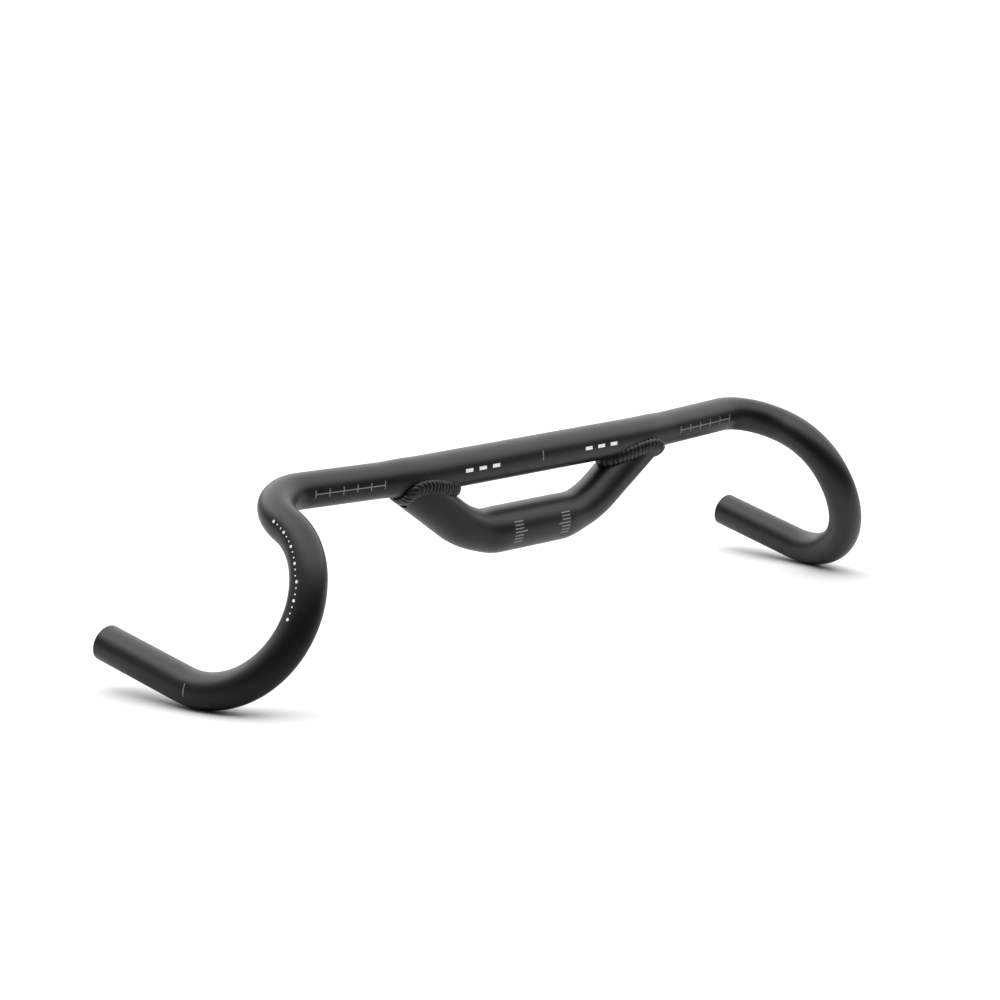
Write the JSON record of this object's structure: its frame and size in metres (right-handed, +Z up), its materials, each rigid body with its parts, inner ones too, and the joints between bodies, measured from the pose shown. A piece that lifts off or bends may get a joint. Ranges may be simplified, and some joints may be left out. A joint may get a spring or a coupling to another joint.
{
  "type": "drop handlebar",
  "caption": "Wide drop handlebar with a raised crossbar above a welded riser tube, flared drops, printed scales and a lower clamp zone.",
  "frame": {"origin": "middle of the stem clamp zone, on its axis", "axes": "+X to the rider's left along the clamp axis, -Y forward, +Z up through the crossbar"},
  "size_m": [0.6412, 0.1541, 0.1344],
  "materials": {
    "tube_black": "fine blasted, black anodised, satin",
    "weld_black": "rippled weld bead under the same black finish",
    "print_grey": "thin grey printed ink",
    "print_white": "thin white printed ink"
  },
  "bodies": {
    "root": {"main_tube": "tube_black", "riser_tube": "tube_black", "weld_left": "weld_black", "weld_right": "weld_black", "centre_mark": "print_grey", "plate_mark_left": "print_white", "plate_mark_right": "print_white", "tops_scale_left": "print_grey", "tops_scale_right": "print_grey", "clamp_scale_left": "print_grey", "clamp_scale_right": "print_grey", "lever_dots_left": "print_white", "lever_dots_right": "print_white", "drop_mark_left": "print_grey", "drop_mark_right": "print_grey"}
  },
  "joints": []
}
